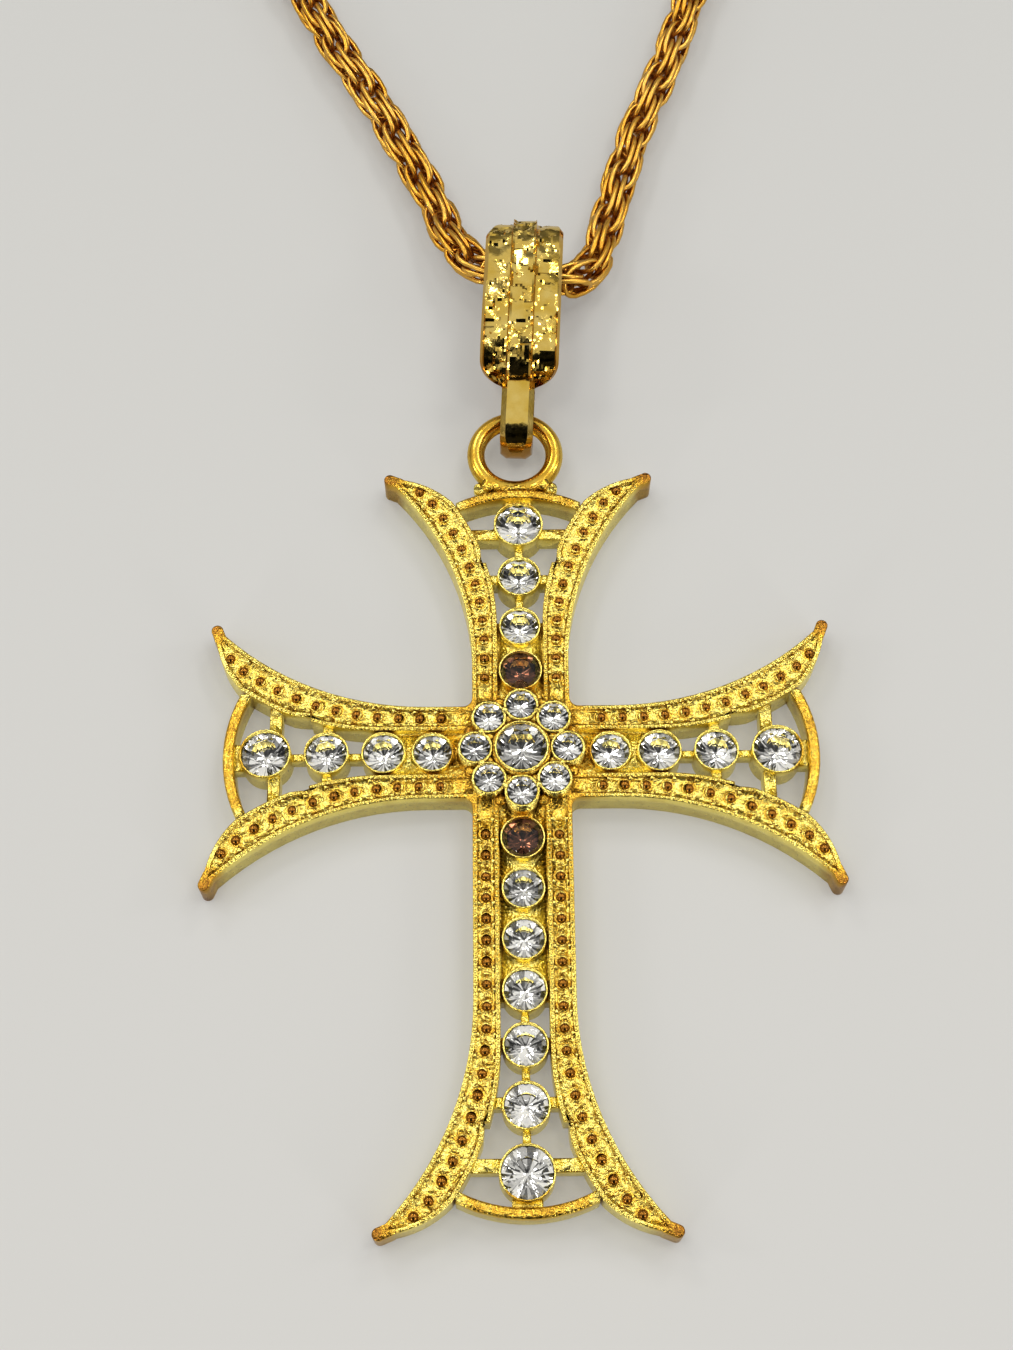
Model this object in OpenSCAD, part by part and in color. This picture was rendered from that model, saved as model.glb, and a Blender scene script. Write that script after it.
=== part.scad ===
/* [Cross] */
// Distance from the middle to the tips of the top and side arms
arm_reach = 26; // [25:0.5:29]
// Distance from the middle to the tips of the long bottom arm
foot_reach = 39; // [38:0.5:42]
// Height of the rails above the flat back
rail_top = 2.9; // [2.7:0.1:3.2]
// Half width over both rails where an arm runs straight
shoulder_half = 4.1; // [3.9:0.1:4.3]
// Half width of the channel between the rails
channel_half = 1.95; // [1.85:0.05:2.05]
// Radius of the sweep of a rail's outer side
outer_sweep = 25.2; // [24.6:0.2:26]
// Radius of the sweep of a rail's inner side
inner_sweep = 21; // [20:0.5:22]
// Radius of the curved end face of each horn
horn_sweep = 8.4; // [8:0.1:9]
// Radius of each horn's round tip
tip_round = 0.5; // [0.4:0.05:0.6]
// Radius of the fillet where two arms meet
corner_fillet = 0.8; // [0.4:0.1:1.2]
// Width of the bar that closes each arm's end
end_bar_w = 0.9; // [0.8:0.05:1.1]
// Radius of the end bar's outward bow
end_bar_bow = 12.5; // [12:0.5:14]

/* [Relief on the rails] */
// Width of the raised border along each rail's edges
border_w = 0.4; // [0.3:0.05:0.5]
// Depth of the sunk band between the borders
band_depth = 0.2; // [0.1:0.05:0.3]
// Diameter of the beads along each rail
bead_d = 0.84; // [0.6:0.02:0.9]
// Spacing of the beads along a rail
bead_pitch = 1.78; // [1.6:0.02:2]

/* [Stones] */
// Metal left round each stone
bezel_wall = 0.2; // [0.15:0.05:0.25]
// Height of the bezels' rims
bezel_top = 2.95; // [2.8:0.05:3.1]
// Height of the girdles of the stones in the arms
girdle_z = 2.55; // [2.4:0.05:2.7]
// Clear gap between a stone and its seat
stone_gap = 0.04; // [0.02:0.01:0.06]
// Diameter of the stone in the middle
centre_stone_d = 4.1; // [3.9:0.1:4.3]
// Diameter of the small stones round it
halo_stone_d = 2.4; // [2.2:0.1:2.5]
// Radius of the circle of small stones
halo_r = 3.83; // [3.75:0.05:4]
// Height of the girdles in the raised middle cluster
halo_girdle_z = 3.85; // [3.6:0.05:4.1]

/* [Ring and bail] */
// Radius of the fixed ring's centre line
ring_r = 3.5; // [3.3:0.05:3.6]
// Diameter of the fixed ring's wire
ring_wire = 1.55; // [1.3:0.05:1.6]
// Distance from the cross's middle to the ring's middle
ring_y = 28.75; // [28.5:0.05:29]
// Width of the bail's band
bail_w = 7; // [6:0.2:8]
// Width of the bail's hook
hook_w = 2.9; // [2.4:0.1:3.2]
// Outer radius of the bail's round ends, seen from the side
bail_r = 4.1; // [4:0.05:4.3]
// Thickness of the bail's band
bail_wall = 0.9; // [0.7:0.05:1]
// Lean of the bail to the right
bail_lean = 3; // [0:1:5]

/* [Chain] */
// Diameter of the rope chain
chain_d = 3.4; // [2.8:0.1:3.4]
// Length of the barrel clasp
clasp_len = 11; // [10:0.5:12]
// Diameter of the barrel clasp
clasp_d = 4; // [3.6:0.1:4.4]

/* [Hidden] */
$fn = 48;
SIDES = ["top", "left", "bottom", "right"];
halo_count = 8;

GOLD = "gold";
OLD_GOLD = "goldenrod";
CLEAR = "white";
BROWN = "saddlebrown";

// Rows of stones, middle outwards: distance from the middle, diameter, colour
TOP_ROW = [[7.4, 3.3, BROWN], [11.5, 3.15, CLEAR], [16.25, 3.35, CLEAR], [21.35, 3.9, CLEAR]];
SIDE_ROW = [[7.4, 3.1, CLEAR], [11.5, 3.3, CLEAR], [16.25, 3.35, CLEAR], [21.35, 3.9, CLEAR]];
BOTTOM_ROW = [
    [7.5, 3.3, BROWN], [11.8, 3.15, CLEAR], [16, 3.2, CLEAR], [20.2, 3.25, CLEAR],
    [24.6, 3.25, CLEAR], [29.3, 3.4, CLEAR], [34.4, 4, CLEAR]
];
// Struts from bezel to rail: distance from the arm's tips, width
SIDE_STRUTS = [[5.4, 1.05], [9.8, 0.9]];
BOTTOM_STRUTS = [[5.2, 1.1], [10, 0.9], [14.6, 1]];

// Where the sweeps of a rail's sides begin, from the arm's tips
outer_start = 18;
inner_start = 14.5;
// Extra by which a cut runs past what it cuts
spare = 1;
side_floor_end = 12.1;
bottom_floor_end = 21;
floor_top = 2.1;
strut_low = 0.5;
strut_top = 2.3;
spine_w = 0.65;
spine_top = 1.9;
end_tab_w = 2.4;
bar_inset = 1.1;
bar_half = 5.5;
bar_top = 2.75;
slope_run = 0.5;
tip_back = 0.38;
first_bead = 1.4;
last_bead = 5.6;
bead_z = 2.72;

// A stone's proportions, as shares of its radius
table_share = 0.56;
crown_share = 0.34;
girdle_share = 0.05;
pavilion_share = 0.85;
culet_share = 0.1;
table_sides = 8;
girdle_sides = 16;
shelf_share = 0.25;
seat_share = 0.8;

collet_wall = 0.25;
collet_low = 2;
cluster_r = 3.3;
cluster_top = 3.4;
centre_rim = 0.35;

ring_z = 1.95;
ring_side = -0.2;
// Feet that join the ring to the end bar: distance from the ring's middle line, top
FEET = [[2.4, 2.65], [3.15, 1.8]];
foot_r = 0.55;
foot_y = 25.5;
foot_low = 0.9;

bail_z = 4.35;
bail_near_y = 38.4;
bail_far_y = 46.9;
hook_y = 31;
hook_z = 2.75;
hook_r = 2.65;
hook_hollow = 1.8;
hook_corner = 0.9;
band_w = 2.1;
band_rise = 0.2;
bail_foot_y = 34.3;
bail_foot_corner = 2.5;
bail_foot_slant = 38;
foot_cut = 60;
bail_head_left = 2.4;
bail_head_right = 1.3;
bail_head_step = 0.5;

chain_sides = 8;
path_steps = 2;
clasp_at = [-15, 266, 2];
clasp_neck = 0.9;
clasp_step = 0.5;

// The chain's way from the clasp's left end, through the bail, to its right end
ROUTE = [
    [-21, 266, 1.9], [-34, 264, 1.7], [-51, 257, 1.7], [-66, 244, 1.7], [-76, 227, 1.7],
    [-80, 208, 1.7], [-79, 189, 1.7], [-73, 171, 1.7], [-64, 154, 1.7], [-54, 138, 1.7],
    [-44, 122, 1.7], [-35, 107, 1.7], [-26.6, 93, 1.7], [-20.6, 82, 1.7], [-17.6, 76, 1.7],
    [-13.6, 69, 1.7], [-10.6, 63, 1.7], [-7.8, 57, 1.9], [-6, 52, 2.6], [-3.6, 48.2, 3.7],
    [0.6, 47, 3.6], [4.8, 46.3, 3.5], [7.2, 48.6, 2.6], [8.7, 53.5, 1.9], [10.2, 59, 1.7],
    [12.2, 65.5, 1.7], [15.2, 73, 1.7], [18.2, 82, 1.7], [22.2, 93, 1.7], [27, 107, 1.7],
    [33, 122, 1.7], [39, 136, 1.7], [46, 152, 1.7], [53, 169, 1.7], [57, 187, 1.7],
    [57, 206, 1.7], [52, 225, 1.7], [42, 243, 1.7], [27, 256, 1.7], [9, 263, 1.7],
    [-9, 266, 1.9]
];

// Half width of a rail's outer side, at a distance from the tips
function outer_at(e) =
    shoulder_half + outer_sweep - sqrt(pow(outer_sweep, 2) - pow(max(outer_start - e, 0), 2));
apex_x = outer_at(0);
// Half the angle between the two sides of a horn's tip
tip_half = (90 - asin(outer_start / outer_sweep)) / 2;
function channel_at(e) =
    channel_half + inner_sweep - sqrt(pow(inner_sweep, 2) - pow(max(inner_start - e, 0), 2));
function horn_at(e) =
    e < horn_sweep ? apex_x - sqrt(pow(horn_sweep, 2) - pow(horn_sweep - e, 2)) : 0;
// Half width of its inner side
function inner_at(e) = max(channel_at(e), horn_at(e));
function rail_mid(e) = (outer_at(e) + inner_at(e)) / 2;
// Distances of the beads from the tips, one pitch apart along the rail
function bead_row(e, last) =
    e > last ? []
    : let(slope = (rail_mid(e) - rail_mid(e + slope_run)) / slope_run)
        concat([e], bead_row(e + bead_pitch / sqrt(1 + slope * slope), last));

function turn_of(side) = 90 * search([side], SIDES)[0];

// Catmull-Rom curve through four points
function spline(a, b, c, d, t) =
    (2 * b + (c - a) * t + (2 * a - 5 * b + 4 * c - d) * t * t
    + (3 * b - a - 3 * c + d) * t * t * t) / 2;

module quarter_cut(r) {
    difference() {
        square([r, r]);
        translate([r, r])
            circle(r);
    }
}

// A place on the line that halves a horn's tip, at a distance back from its sharp end
module at_tip(reach, back) {
    translate([apex_x - back * cos(tip_half), reach - back * sin(tip_half)])
        rotate(tip_half)
            children();
}

// Cuts the sharp tip of a horn to a round end
module tip_trim(reach) {
    at_tip(reach, tip_round / sin(tip_half))
        difference() {
            translate([tip_round * sin(tip_half), -spare])
                square(2 * spare);
            circle(tip_round);
        }
}

// The finger that ends a horn
module tip_finger(reach) {
    length = tip_round / sin(tip_half) - tip_back;
    at_tip(reach, tip_back) {
        circle(tip_round);
        translate([-length, 0])
            circle(tip_round);
        translate([-length, -tip_round])
            square([length, 2 * tip_round]);
    }
}

// One rail of an arm that points along +Y, seen from above
module rail_plan(reach, inset = 0) {
    difference() {
        intersection() {
            translate([channel_half + inset, 0])
                square([reach, reach]);
            union() {
                square([reach, reach - horn_sweep]);
                translate([apex_x, reach - horn_sweep])
                    circle(horn_sweep - inset);
            }
        }
        translate([shoulder_half - inset, -spare])
            square([reach, reach - outer_start + spare]);
        translate([shoulder_half + outer_sweep, reach - outer_start])
            circle(outer_sweep + inset);
        difference() {
            translate([0, reach - inner_start])
                square([channel_half + inner_sweep, inner_start + spare]);
            translate([channel_half + inner_sweep, reach - inner_start])
                circle(inner_sweep - inset);
        }
        tip_trim(reach - inset);
    }
}

module both_sides() {
    children();
    mirror([1, 0, 0])
        children();
}

module rail(reach) {
    difference() {
        linear_extrude(rail_top) {
            rail_plan(reach);
            tip_finger(reach);
        }
        translate([0, 0, rail_top - band_depth])
            linear_extrude(spare)
                rail_plan(reach, border_w);
    }
    for (e = bead_row(first_bead, reach - last_bead))
        translate([rail_mid(e), reach - e, bead_z])
            sphere(d = bead_d);
}

module end_bar(reach) {
    linear_extrude(bar_top)
        intersection() {
            translate([0, reach - bar_inset - end_bar_bow])
                difference() {
                    circle(end_bar_bow);
                    circle(end_bar_bow - end_bar_w);
                }
            translate([-bar_half, reach - 2 * bar_inset - end_bar_w - spare])
                square([2 * bar_half, 2 * bar_inset + end_bar_w]);
        }
}

module struts(reach, list) {
    for (strut = list)
        translate([-inner_at(strut[0]) - border_w, reach - strut[0] - strut[1] / 2, strut_low])
            cube([2 * (inner_at(strut[0]) + border_w), strut[1], strut_top - strut_low]);
}

module arm(reach, row, list, floor_end) {
    both_sides()
        rail(reach);
    end_bar(reach);
    struts(reach, list);
    translate([-channel_half - border_w, 0, 0])
        cube([2 * (channel_half + border_w), floor_end, floor_top]);
    translate([-spine_w / 2, 0, strut_low])
        cube([spine_w, reach - bar_inset - end_bar_w / 2, spine_top - strut_low]);
    translate([-end_tab_w / 2, row[len(row) - 1][0], strut_low])
        cube([end_tab_w, reach - bar_inset - end_bar_w / 2 - row[len(row) - 1][0], spine_top - strut_low]);
    for (stone = row)
        translate([0, stone[0], 0])
            cylinder(r = stone[1] / 2 + bezel_wall, h = bezel_top);
}

// The hole that holds a stone, with a shelf under its girdle
module seat(r, girdle) {
    translate([0, 0, girdle - shelf_share * r])
        cylinder(r = r + stone_gap, h = girdle);
    translate([0, 0, girdle - (pavilion_share + shelf_share / 2) * r])
        cylinder(r = seat_share * r, h = girdle);
}

module seats(row) {
    for (stone = row)
        translate([0, stone[0], 0])
            seat(stone[1] / 2, girdle_z);
}

module at_side(side) {
    rotate(turn_of(side))
        children();
}

module at_halo(i) {
    rotate(360 / halo_count * (i - 1))
        translate([0, halo_r, 0])
            children();
}

module cluster() {
    cylinder(r = cluster_r, h = cluster_top);
    for (i = [1:halo_count])
        at_halo(i)
            translate([0, 0, collet_low])
                cylinder(r = halo_stone_d / 2 + collet_wall, h = halo_girdle_z + stone_gap - collet_low);
    cylinder(r = centre_stone_d / 2 + bezel_wall, h = halo_girdle_z + centre_rim);
}

module fixed_ring() {
    translate([ring_side, ring_y, ring_z])
        rotate_extrude()
            translate([ring_r, 0])
                circle(d = ring_wire);
    translate([ring_side, foot_y, foot_low])
        both_sides()
            for (foot = FEET)
                translate([foot[0], 0, 0])
                    cylinder(r = foot_r, h = foot[1] - foot_low);
}

module cross_frame() {
    color(GOLD)
        difference() {
            union() {
                at_side("top")
                    arm(arm_reach, TOP_ROW, SIDE_STRUTS, side_floor_end);
                at_side("left")
                    arm(arm_reach, SIDE_ROW, SIDE_STRUTS, side_floor_end);
                at_side("right")
                    arm(arm_reach, SIDE_ROW, SIDE_STRUTS, side_floor_end);
                at_side("bottom")
                    arm(foot_reach, BOTTOM_ROW, BOTTOM_STRUTS, bottom_floor_end);
                for (turn = [0:90:270])
                    rotate(turn)
                        translate([shoulder_half, shoulder_half, 0])
                            linear_extrude(rail_top)
                                quarter_cut(corner_fillet);
                cluster();
                fixed_ring();
            }
            at_side("top")
                seats(TOP_ROW);
            at_side("left")
                seats(SIDE_ROW);
            at_side("right")
                seats(SIDE_ROW);
            at_side("bottom")
                seats(BOTTOM_ROW);
            for (i = [1:halo_count])
                at_halo(i)
                    seat(halo_stone_d / 2, halo_girdle_z);
            seat(centre_stone_d / 2, halo_girdle_z);
        }
}

// A round stone: an eight-sided table, a ring of crown facets, a girdle and a pointed back
module cut_stone(r, tone) {
    color(tone)
        hull() {
            translate([0, 0, crown_share * r / 2])
                cylinder(r = table_share * r, h = crown_share * r / 2, $fn = table_sides);
            translate([0, 0, -girdle_share * r])
                rotate(180 / girdle_sides)
                    cylinder(r = r, h = girdle_share * r, $fn = girdle_sides);
            translate([0, 0, -pavilion_share * r])
                cylinder(r = culet_share * r, h = culet_share * r, $fn = table_sides);
        }
}

module row_stone(row, i) {
    translate([0, row[i - 1][0], girdle_z])
        cut_stone(row[i - 1][1] / 2, row[i - 1][2]);
}

// A slot shape with round ends, lying along X from one centre to the other
module stadium(from, to, r) {
    translate([from, -r])
        square([to - from, 2 * r]);
    translate([from, 0])
        circle(r);
    translate([to, 0])
        circle(r);
}

// The bail's band and hook seen from the side, with Y across and Z up
module bail_side(rise = 0) {
    difference() {
        union() {
            translate([0, bail_z])
                stadium(bail_near_y, bail_far_y, bail_r + rise);
            translate([0, hook_z])
                stadium(hook_y, bail_near_y, hook_r);
        }
        translate([0, bail_z])
            stadium(bail_near_y, bail_far_y, bail_r - bail_wall);
        translate([0, hook_z])
            stadium(hook_y, bail_near_y, hook_hollow);
    }
}

module sideways(w) {
    translate([-w / 2, 0, 0])
        rotate([90, 0, 90])
            linear_extrude(w)
                children();
}

// What rounds both corners at one end of a strip of width w, seen from above
module corner_pair(w, r) {
    both_sides()
        translate([-w / 2, 0])
            quarter_cut(r);
}

// Space that the side strips may fill at the band's head
module head_space() {
    head_y = bail_far_y + bail_r - bail_head_step;
    linear_extrude(bail_z + bail_r)
        difference() {
            translate([-bail_w / 2, 0])
                square([bail_w, head_y]);
            translate([-bail_w / 2, head_y])
                mirror([0, 1])
                    quarter_cut(bail_head_left);
            translate([bail_w / 2, head_y])
                rotate(180)
                    quarter_cut(bail_head_right);
        }
}

// Space that the band may fill at its foot, slanted so that its back is narrower
module foot_space() {
    translate([0, bail_foot_y, bail_z])
        rotate([bail_foot_slant, 0, 0])
            linear_extrude(foot_cut, center = true)
                difference() {
                    translate([-bail_w / 2, 0])
                        square([bail_w, bail_far_y]);
                    corner_pair(bail_w, bail_foot_corner);
                }
}

// The narrow strip that goes through the cross's ring
module hook() {
    difference() {
        sideways(hook_w)
            bail_side();
        translate([0, hook_y - hook_r, 0])
            linear_extrude(bail_z)
                corner_pair(hook_w, hook_corner);
    }
}

module bail() {
    color(GOLD)
        translate([0, hook_y, 0])
            rotate(-bail_lean)
                translate([0, -hook_y, 0]) {
                    intersection() {
                        sideways(bail_w)
                            bail_side();
                        head_space();
                        foot_space();
                    }
                    hook();
                    sideways(band_w)
                        bail_side(band_rise);
                }
}

module rope_chain() {
    last = len(ROUTE) - 1;
    path = concat(
        [for (i = [0:last - 1]) for (step = [0:path_steps - 1])
            spline(
                ROUTE[max(i - 1, 0)], ROUTE[i], ROUTE[i + 1], ROUTE[min(i + 2, last)], step / path_steps
            )],
        [ROUTE[last]]
    );
    rings = len(path);
    skin = chain_d / 2 / cos(180 / chain_sides);
    points = [for (i = [0:rings - 1])
        let(
            ahead = path[min(i + 1, rings - 1)] - path[max(i - 1, 0)],
            along = ahead / norm(ahead),
            across = cross(along, [0, 0, 1]) / norm(cross(along, [0, 0, 1])),
            up = cross(across, along)
        )
        for (k = [0:chain_sides - 1])
            let(turn = (360 * k + 180) / chain_sides)
            path[i] + skin * (cos(turn) * across + sin(turn) * up)];
    walls = [for (i = [0:rings - 2]) for (k = [0:chain_sides - 1])
        let(
            a = i * chain_sides + k,
            b = i * chain_sides + (k + 1) % chain_sides
        )
        for (face = [[a, b, b + chain_sides], [a, b + chain_sides, a + chain_sides]]) face];
    caps = [
        [for (k = [chain_sides - 1:-1:0]) k],
        [for (k = [0:chain_sides - 1]) (rings - 1) * chain_sides + k]
    ];
    color(OLD_GOLD)
        polyhedron(points, concat(walls, caps));
}

// A plain barrel on its side, with a narrower neck at each end
module clasp() {
    color(OLD_GOLD)
        translate(clasp_at)
            rotate([0, 90, 0]) {
                cylinder(d = clasp_d, h = clasp_len - 2 * clasp_neck, center = true);
                cylinder(d = clasp_d - 2 * clasp_step, h = clasp_len, center = true);
            }
}

cross_frame();
translate([0, 0, halo_girdle_z])  // stone_centre
        cut_stone(centre_stone_d / 2, CLEAR);
for (i = [1:halo_count])
    at_halo(i)
            translate([0, 0, halo_girdle_z])
                cut_stone(halo_stone_d / 2, CLEAR);
for (i = [1:4]) {
    at_side("top") row_stone(TOP_ROW, i);
    at_side("left") row_stone(SIDE_ROW, i);
    at_side("right") row_stone(SIDE_ROW, i);
}
for (i = [1:7])
    at_side("bottom") row_stone(BOTTOM_ROW, i);
bail();
rope_chain();
clasp();
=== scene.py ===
import math
import random

import bmesh
import bpy
import numpy
from mathutils import Matrix, Vector
from mathutils.kdtree import KDTree


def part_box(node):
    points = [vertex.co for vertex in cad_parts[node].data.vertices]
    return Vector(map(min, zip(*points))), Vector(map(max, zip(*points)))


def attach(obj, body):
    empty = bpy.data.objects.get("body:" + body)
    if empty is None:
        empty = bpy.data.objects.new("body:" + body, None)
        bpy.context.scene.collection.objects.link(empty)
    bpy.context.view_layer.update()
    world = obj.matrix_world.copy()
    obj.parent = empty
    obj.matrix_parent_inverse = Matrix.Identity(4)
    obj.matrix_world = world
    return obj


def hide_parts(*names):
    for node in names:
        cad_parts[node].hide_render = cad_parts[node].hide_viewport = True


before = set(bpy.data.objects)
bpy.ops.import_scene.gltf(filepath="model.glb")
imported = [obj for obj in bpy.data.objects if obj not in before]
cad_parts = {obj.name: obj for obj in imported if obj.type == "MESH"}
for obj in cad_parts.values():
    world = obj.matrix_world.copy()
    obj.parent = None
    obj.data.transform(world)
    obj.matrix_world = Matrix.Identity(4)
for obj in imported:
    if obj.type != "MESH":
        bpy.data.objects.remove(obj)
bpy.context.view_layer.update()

MM = 0.001
QUARTER = math.pi / 2
FULL = 2 * math.pi

# How close points are to be welded, to be at one height, and to be on a surface
WELD = 0.0001 * MM
HAIR = 0.001 * MM
SLACK = 0.01 * MM

# The cross, as in the construction
ARM_REACH = 26 * MM
FOOT_REACH = 39 * MM
RAIL_TOP = 2.9 * MM
SHOULDER_HALF = 4.1 * MM
CHANNEL_HALF = 1.95 * MM
OUTER_SWEEP = 25.2 * MM
OUTER_START = 18 * MM
INNER_SWEEP = 21 * MM
INNER_START = 14.5 * MM
HORN_SWEEP = 8.4 * MM
BAND_FLOOR = 2.7 * MM
BEAD_R = 0.42 * MM
BEAD_PITCH = 1.78 * MM
FIRST_BEAD = 1.4 * MM
LAST_BEAD = 5.6 * MM
BEAD_Z = 2.72 * MM
CLUSTER_EDGE = 6 * MM
CLUSTER_LOW = 2 * MM
CLUSTER_HIGH = RAIL_TOP + 0.6 * MM
CLUSTER_STONES = 8
RAILS = [
    (turn * QUARTER, side, FOOT_REACH if turn == 2 else ARM_REACH)
    for turn in range(4) for side in (1, -1)
]

# Relief cast on the rails
WELL_R = 0.66 * MM
WELL_RISE = 0.04 * MM
GRAIN_R = 0.16 * MM
GRAIN_STEP = 0.4 * MM
GRAIN_INSET = 0.2 * MM
GRAIN_SINK = 0.04 * MM
TOOTH_R = 0.34 * MM
TOOTH_HEIGHT = 0.3 * MM
TOOTH_INSET = 0.5 * MM
TOOTH_RISE = 0.08 * MM
SLOPE_RUN = 0.1 * MM
FIRST_GRAIN = 1.1 * MM
LAST_GRAIN = 5.2 * MM

# Where the browned tips, the fixed ring and the end bars are
TIP_REACH = 2.8 * MM
RING_MIDDLE = Vector((-0.2, 28.75)) * MM
RING_REACH = 4.4 * MM
RING_FOOT_Y = 25.2 * MM
END_BAR_HALF = 5.2 * MM
END_BAR_DEPTH = 3.2 * MM
END_BAR_LOW = 2.4 * MM

# How brown each place of the casting is, from 0 for fresh gold to 1
BAND_BROWN = 0.1
WELL_BROWN = 0.28
FILLER_BROWN = 0.35
END_BAR_BROWN = 0.42
RING_BROWN = 0.45
CLUSTER_BROWN = 0.45
BEAD_BROWN = 0.95
TIP_BROWN = 0.95

# Pads in the middle cluster: radius, height, flattening, brownness, distance from the middle
PADS = [
    (0.6 * MM, 3.4 * MM, 0.5, 0.2, 2.95 * MM), (0.3 * MM, 3.85 * MM, 0.8, 0, 3.6 * MM),
    (0.55 * MM, 2.95 * MM, 0.6, 0.55, 4.6 * MM),
]

# The ring that fills the gap about the large stone's setting
FILLER_REACH = 2.3 * MM
FILLER_R = 0.24 * MM
FILLER_Z = 3.6 * MM

# Each kind of rim that is rounded: its height, and the width of the rounding
SOFT_RIMS = [
    (RAIL_TOP, 0.1 * MM), (2.95 * MM, 0.06 * MM), (2.75 * MM, 0.22 * MM),
    (2.3 * MM, 0.12 * MM), (1.9 * MM, 0.12 * MM), (2.55 * MM, 0.2 * MM),
]

# How much the normals of a rim's wall and top may rise: the wall's less, the top's more
WALL_RISE = 0.3
TOP_RISE = 0.9

# The bail's band seen from the side: two round ends joined by straight runs
BAIL_Z = 4.35 * MM
BAIL_NEAR_Y = 38.4 * MM
BAIL_FAR_Y = 46.9 * MM
BAIL_R = 4.1 * MM
BAIL_WALL = 0.9 * MM
BAIL_HALF = 3.5 * MM

# The narrow strip that hooks through the fixed ring
HOOK_Y = 31 * MM
HOOK_Z = 2.75 * MM
HOOK_R = 2.65 * MM
HOOK_HALF = 1.45 * MM
HOOK_WALL = 0.85 * MM
HOOK_CORNER = 0.9 * MM
HOOK_TOP_END = 36 * MM
HOOK_BACK_END = 38.6 * MM
HOOK_FLAT = 0.98 * MM
HOOK_DROP = 0.4 * MM
HOOK_GRAIN = 0.5 * MM
HOOK_RUN_STEPS = 8
HOOK_TURN_STEPS = 24

# Across the band: a raised middle strip with ridges, a groove on each side of it, and bevelled edges
MIDDLE_HALF = 1.05 * MM
RIDGE_HALF = 0.15 * MM
EDGE_IN = 0.35 * MM
EDGE_DROP = 0.5 * MM
GROOVE = 0.12 * MM
RIDGE_IN = 0.2 * MM
RIDGE_RISE = 0.2 * MM
MIDDLE_RISE = 0.12 * MM
INNER_IN = 0.2 * MM
INNER_RISE = 0.1 * MM
BAIL_GRAIN = 0.22 * MM

# How the band narrows at its foot and its head, bows in at its front and leans to one side
FOOT_Y = 34.3 * MM
FOOT_CORNER = 2.5 * MM
FOOT_SLANT = math.radians(38)
HEAD_BEHIND = 0.5 * MM
HEAD_Y = BAIL_FAR_Y + BAIL_R - HEAD_BEHIND
HEAD_SLOPE = 0.12
HEAD_REACH = 0.5 * MM
HEAD_LEFT = 2.7 * MM
HEAD_RIGHT = 1.3 * MM
BAIL_BOW = 0.5 * MM
BAIL_LEAN = math.radians(-3)

# The dents in the bail: how many points share one, how it tilts and how deep it goes
POINTS_PER_DENT = 32
DENT_TILT = 0.3
DENT_DEPTHS = (0.02 * MM, 0.12 * MM)
DEEPEST_DENT = 0.22 * MM

# The rings of corners of a cut stone from its table down, as shares of its radius:
# corners, radius, height above the girdle, and the share of a side that the ring is turned
STONE_RINGS = [
    (8, 0.56, 0.34, 0), (8, 0.78, 0.225, 0.5), (32, 1, 0, 0), (16, 1, -0.05, 0),
    (8, 0.3, -0.64, 0.5), (8, 0.07, -0.85, 0),
]
STONE_DEPTH = 0.85
STONE_SIDES = 16
STONE_FLAT = math.radians(1.5)
COAT_RISE = 0.05
BROWN_STONES = ["stone_top_1", "stone_bottom_1"]

# The chain's links: half width, length over width, squareness, wire, distance from one to the next,
# distance between the rope's lobes, how far off its middle they sit, and their lift above the floor
LINK_R = 1.396 * MM
LINK_OVAL = 1.7
LINK_SQUARE = 2.6
LINK_WIRE = 0.5 * MM
LINK_PITCH = 0.78 * MM
LOBE_PITCH = 6 * MM
LINK_TURN = math.pi * (1 - LINK_PITCH / LOBE_PITCH)
LINK_SHIFT = Vector((0, 0, 0.55)) * MM
LINK_LIFT = Vector((0, 0, 0.08)) * MM

# The chain's way from the clasp through the bail and back
ROUTE_STEPS = 30
ROUTE = [
    Vector(point) * MM for point in [
        (-21, 266, 1.9), (-34, 264, 1.7), (-51, 257, 1.7), (-66, 244, 1.7), (-76, 227, 1.7),
        (-80, 208, 1.7), (-79, 189, 1.7), (-73, 171, 1.7), (-64, 154, 1.7), (-54, 138, 1.7),
        (-44, 122, 1.7), (-35, 107, 1.7), (-26.6, 93, 1.7), (-20.6, 82, 1.7), (-17.6, 76, 1.7),
        (-13.6, 69, 1.7), (-10.6, 63, 1.7), (-7.8, 57, 1.9), (-6, 52, 2.6), (-3.6, 48.2, 3.7),
        (0.6, 47, 3.6), (4.8, 46.3, 3.5), (7.2, 48.6, 2.6), (8.7, 53.5, 1.9), (10.2, 59, 1.7),
        (12.2, 65.5, 1.7), (15.2, 73, 1.7), (18.2, 82, 1.7), (22.2, 93, 1.7), (27, 107, 1.7),
        (33, 122, 1.7), (39, 136, 1.7), (46, 152, 1.7), (53, 169, 1.7), (57, 187, 1.7),
        (57, 206, 1.7), (52, 225, 1.7), (42, 243, 1.7), (27, 256, 1.7), (9, 263, 1.7),
        (-9, 266, 1.9),
    ]
]

# The clasp's barrel and its narrower necks
CLASP_NECK = 0.9 * MM
CLASP_STEP = 0.5 * MM
CLASP_ROUND = 0.3 * MM

# Cast gold from fresh to browned, and the golds of the bail and the chain from one cloud to the next
GOLD_TONES = [
    (0.0, (1, 0.87, 0.29)), (0.3, (0.77, 0.61, 0.16)),
    (0.6, (0.66, 0.42, 0.06)), (1.0, (0.33, 0.16, 0.03)),
]
BAIL_TONES = [(0.3, (0.75, 0.58, 0.2)), (0.7, (0.66, 0.46, 0.09))]
CHAIN_TONES = [(0.3, (0.78, 0.5, 0.13)), (0.7, (0.68, 0.38, 0.05))]

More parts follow.
